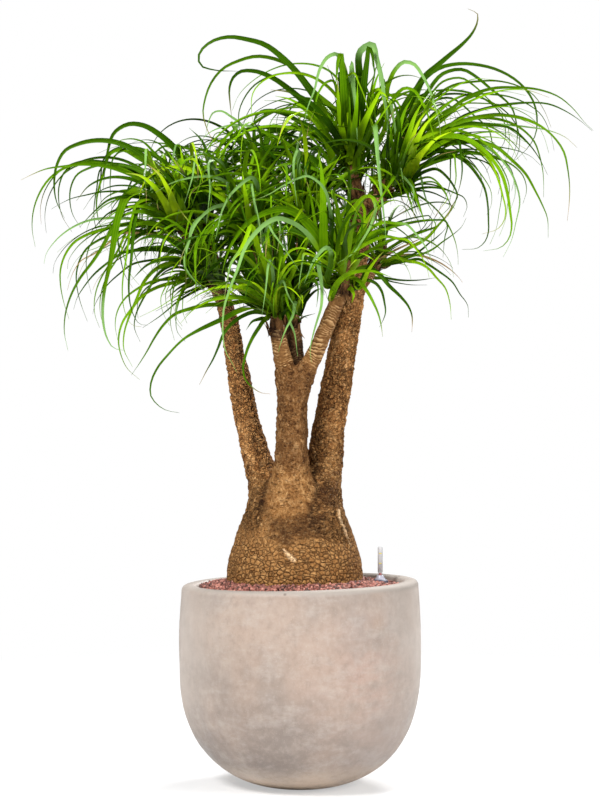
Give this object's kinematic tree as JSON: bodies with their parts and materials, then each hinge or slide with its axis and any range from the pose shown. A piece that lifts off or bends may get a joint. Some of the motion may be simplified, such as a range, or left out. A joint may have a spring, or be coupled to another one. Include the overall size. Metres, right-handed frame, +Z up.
{
  "type": "potted ponytail palm",
  "caption": "Ponytail palm with several trunks on one swollen base and heads of arching strap leaves, in a round stone-composite planter of clay granules with a water gauge.",
  "frame": {"origin": "centre of the planter's flat foot, on the surface it stands on", "axes": "+Z up, +X to the right and +Y away from the viewer in the front view"},
  "size_m": [1.19, 0.8842, 1.615],
  "materials": {
    "stone_composite": "matte",
    "fired_clay": "matte",
    "bark": "matte",
    "leaf": "satin",
    "grey_plastic": "satin",
    "clear_plastic": "gloss",
    "red_plastic": "gloss"
  },
  "bodies": {
    "planter": {"pot": "stone_composite", "clay_granules": "fired_clay", "trunk": "bark", "leaves_top_left": "leaf", "leaves_top_right": "leaf", "leaves_right_front": "leaf", "leaves_left_front": "leaf", "leaves_middle_front": "leaf", "leaves_left_low": "leaf", "leaves_left_out": "leaf", "leaves_left_up": "leaf", "leaves_centre_left": "leaf", "leaves_centre": "leaf", "leaves_back": "leaf", "leaves_right_back": "leaf", "gauge_housing": "grey_plastic", "gauge_window": "clear_plastic"},
    "gauge_float": {"gauge_float": "red_plastic"}
  },
  "joints": [
    {"name": "float_slide", "type": "slide", "parent": "planter", "child": "gauge_float", "axis": [0, 0, 1], "range_m": [0, 0.042]}
  ]
}
